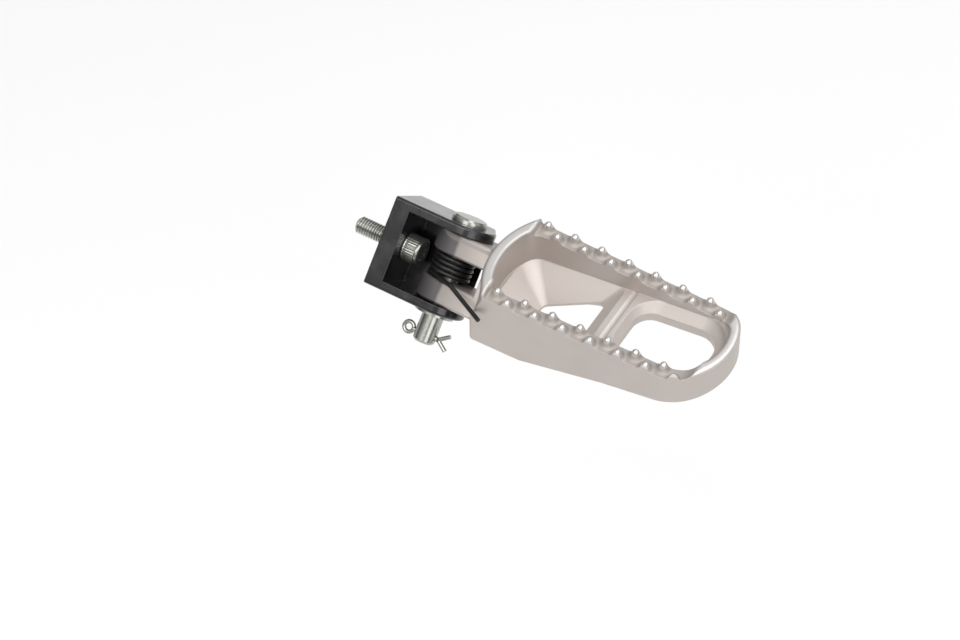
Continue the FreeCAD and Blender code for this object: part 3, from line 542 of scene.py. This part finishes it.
pin_lean = math.radians(45)
pin_place = Vector((31, 0, 0)) * MM
clevis_axes = Matrix.Translation(pin_place) @ Matrix.Rotation(pin_lean, 4, "X")
wire_radius = 1.0 * MM
wire_sides = 20
coil_radius = 8.5 * MM
coil_pitch = 2.25 * MM
coil_steps = 40
leg_lift = math.radians(27)
coil_start = math.pi / 2 + leg_lift
coil_turns = 4 + (math.pi / 2 - leg_lift) / (2 * math.pi)
leg_bend_x = 7.5 * MM
leg_bend = 4.0 * MM
bend_steps = 8
leg_corner = Vector((22.4, -10.8, 19.6)) * MM
leg_past_corner = 0.35
tail_length = 15.0 * MM


def black_wire():
    black = (0.018, 0.018, 0.019, 1)
    brownish = (0.050, 0.048, 0.046, 1)
    finish = Finish("black_wire", Metallic=0.75)
    oil = finish.grain(2.2 * MM, 3.0)
    finish.drive("Base Color", finish.tint(oil, black, brownish))
    finish.drive("Roughness", 0.26 + oil * 0.22)
    finish.emboss(finish.grain(0.5 * MM), 0.012 * MM, finish.round_normal(0.2 * MM))
    return finish.material


def on_coil(turn):
    """A point of the coil this many turns after the leg's end."""
    angle = coil_start + 2 * math.pi * turn
    along = coil_pitch * (turn - coil_turns / 2)
    return Vector((coil_radius * math.cos(angle), along, coil_radius * math.sin(angle)))


def bent(before, corner, after):
    """Points round one bend of a leg."""
    back = (before - corner).normalized()
    ahead = (after - corner).normalized()
    half = back.angle(ahead) / 2
    middle = corner + (back + ahead).normalized() * (leg_bend / math.sin(half))
    start = corner + back * (leg_bend / math.tan(half)) - middle
    end = corner + ahead * (leg_bend / math.tan(half)) - middle
    swings = [start.slerp(end, step / bend_steps).normalized() for step in range(bend_steps + 1)]
    return [middle + swing * leg_bend for swing in swings]


coil_rings = round(coil_turns * coil_steps)
coil_way = [on_coil(coil_turns * step / coil_rings) for step in range(coil_rings + 1)]
leg_way = (coil_way[0] - coil_way[1]).normalized()
leg_foot = coil_way[0] + leg_way * ((leg_bend_x - coil_way[0].x) / leg_way.x)
leg_tip = leg_corner + (leg_corner - leg_foot) * leg_past_corner
tail_end = coil_way[-1] + (coil_way[-1] - coil_way[-2]).normalized() * tail_length
wire_way = [leg_tip] + list(reversed(bent(coil_way[0], leg_foot, leg_tip))) + coil_way + [tail_end]

wire_path = bpy.data.curves.new("wire_path", "CURVE")
wire_path.dimensions = "3D"
wire_line = wire_path.splines.new("POLY")
wire_line.points.add(len(wire_way) - 1)
for point, place in zip(wire_line.points, wire_way):
    point.co = (*(clevis_axes @ place), 1)

wire_tree = Pattern("drawn_wire", {"Wire radius": wire_radius})
wire_section = wire_tree.node(
    "GeometryNodeCurvePrimitiveCircle",
    {},
    {"Resolution": wire_sides, "Radius": wire_tree.given("Wire radius")},
)
wire_body = wire_tree.node(
    "GeometryNodeCurveToMesh",
    {},
    {"Curve": wire_tree.given("Geometry"), "Profile Curve": wire_section, "Fill Caps": True},
)
wire_tree.end(wire_body, black_wire())
spring = wire_tree.made_on(wire_path, "wound_spring")
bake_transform(spring)
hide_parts("return_spring")


# Floor and light
# A pale floor well below the footpeg, and four soft lamps. The room is white where the camera
# sees it, and its glow comes from above and fades on the bracket's side.

floor_drop = 0.32
floor_half = 12
floor_white = (0.87, 0.87, 0.87, 1)
floor_corners = [
    (-floor_half, -floor_half, -floor_drop),
    (floor_half, -floor_half, -floor_drop),
    (floor_half, floor_half, -floor_drop),
    (-floor_half, floor_half, -floor_drop),
]
floor_mesh = bpy.data.meshes.new("floor")
floor_mesh.from_pydata(floor_corners, [], [(0, 1, 2, 3)])
floor_mesh.materials.append(Finish("floor_white", Base_Color=floor_white, Roughness=0.9).material)
floor = bpy.data.objects.new("floor", floor_mesh)
bpy.context.scene.collection.objects.link(floor)


def lamp(name, place, width, height, watts):
    """A soft lamp that shines on the platform."""
    light = bpy.data.lights.new(name, "AREA")
    light.shape = "RECTANGLE"
    light.size = width
    light.size_y = height
    light.energy = watts
    holder = bpy.data.objects.new(name, light)
    holder.location = place
    holder.rotation_euler = (platform - Vector(place)).to_track_quat("-Z", "Y").to_euler()
    bpy.context.scene.collection.objects.link(holder)


lamp("top_lamp", place=(0.75, -0.15, 1.45), width=1.5, height=1.5, watts=12)
lamp("far_lamp", place=(0.5, 1.1, 1.65), width=1.0, height=0.8, watts=5)
lamp("near_lamp", place=(-0.1, -1.0, 1.4), width=1.0, height=1.0, watts=11)
lamp("end_lamp", place=(1.3, -1.1, 0.6), width=0.8, height=0.8, watts=4)

world = bpy.data.worlds.new("room")
world.use_nodes = True
room = Nodes(world.node_tree)
room_way = room.node("ShaderNodeTexCoord", output="Generated")
room_side = room.node("ShaderNodeSeparateXYZ", {}, {"Vector": room_way}, "X")
room_height = room.node("ShaderNodeSeparateXYZ", {}, {"Vector": room_way}, "Z")
room_seen = room.node("ShaderNodeLightPath", output="Is Camera Ray")
room_above = 0.12 + room_height.between(0.10, 0.45) * 0.6
room_glow = room_above * (0.5 + room_side.between(-0.95, -0.35) * 0.5)
room_light = room_glow * (1 - room_seen) + room_seen
backdrop = world.node_tree.nodes["Background"]
backdrop.inputs["Color"].default_value = (1, 1, 1, 1)
world.node_tree.links.new(room_light.socket, backdrop.inputs["Strength"])
bpy.context.scene.world = world
bpy.context.scene.view_settings.view_transform = "Standard"
